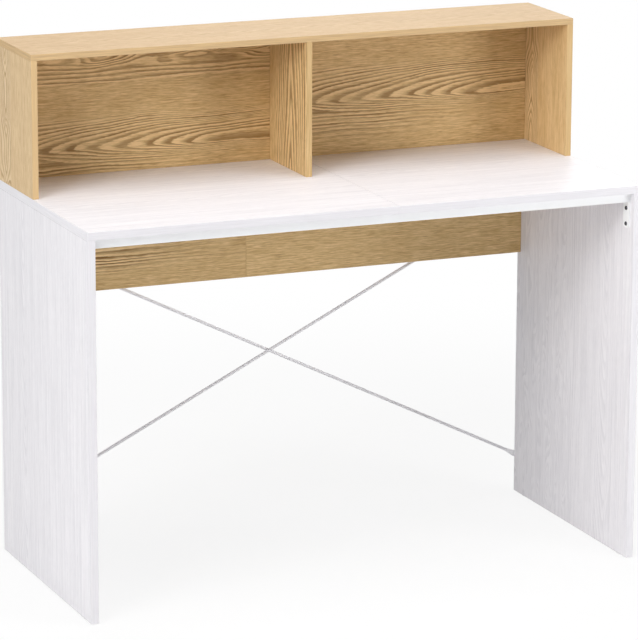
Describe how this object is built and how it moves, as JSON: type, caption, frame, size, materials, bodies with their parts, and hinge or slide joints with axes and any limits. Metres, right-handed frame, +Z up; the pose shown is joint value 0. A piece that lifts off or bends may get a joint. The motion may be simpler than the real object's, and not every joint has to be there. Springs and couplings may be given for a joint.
{
  "type": "desk with hutch",
  "caption": "Flat-pack writing desk of pale laminate boards with a steel front beam, a crossed rod brace behind it and a low open oak-grained hutch standing on its rear.",
  "frame": {"origin": "on the floor, under the middle of the desk's overall box, which includes the brace rods behind it", "axes": "+X to the right as seen from the front, +Y from the front to the rear, +Z up"},
  "size_m": [1.1, 0.5126, 1],
  "materials": {
    "white_laminate": "satin white-grained laminate on particle board",
    "oak_laminate": "matte oak-grained laminate on particle board",
    "white_steel": "satin white powder coat",
    "grey_steel": "satin light grey powder coat",
    "dark_screw": "black zinc plated",
    "zinc_fitting": "bright zinc plated",
    "dowel_wood": "raw beech",
    "glide_plastic": "moulded white plastic"
  },
  "bodies": {
    "root": {"side_panel_left": "white_laminate", "side_panel_right": "white_laminate", "desktop_left": "white_laminate", "desktop_right": "white_laminate", "apron_left": "oak_laminate", "apron_right": "oak_laminate", "hutch_top": "oak_laminate", "hutch_side_left": "oak_laminate", "hutch_side_right": "oak_laminate", "hutch_divider": "oak_laminate", "hutch_back_left": "oak_laminate", "hutch_back_right": "oak_laminate", "front_beam": "white_steel", "beam_end_plate_left": "white_steel", "beam_end_plate_right": "white_steel", "brace_rod_inner": "grey_steel", "brace_rod_outer": "grey_steel", "beam_plate_screws": "dark_screw", "brace_screws": "dark_screw", "desk_cam_locks": "zinc_fitting", "desk_cam_bolts": "zinc_fitting", "hutch_cam_locks": "zinc_fitting", "hutch_cam_bolts": "zinc_fitting", "panel_dowels": "dowel_wood", "desktop_dowels": "dowel_wood", "apron_dowels": "dowel_wood", "apron_seam_dowels": "dowel_wood", "hutch_dowels": "dowel_wood", "divider_dowels": "dowel_wood", "floor_glides": "glide_plastic"}
  },
  "joints": []
}
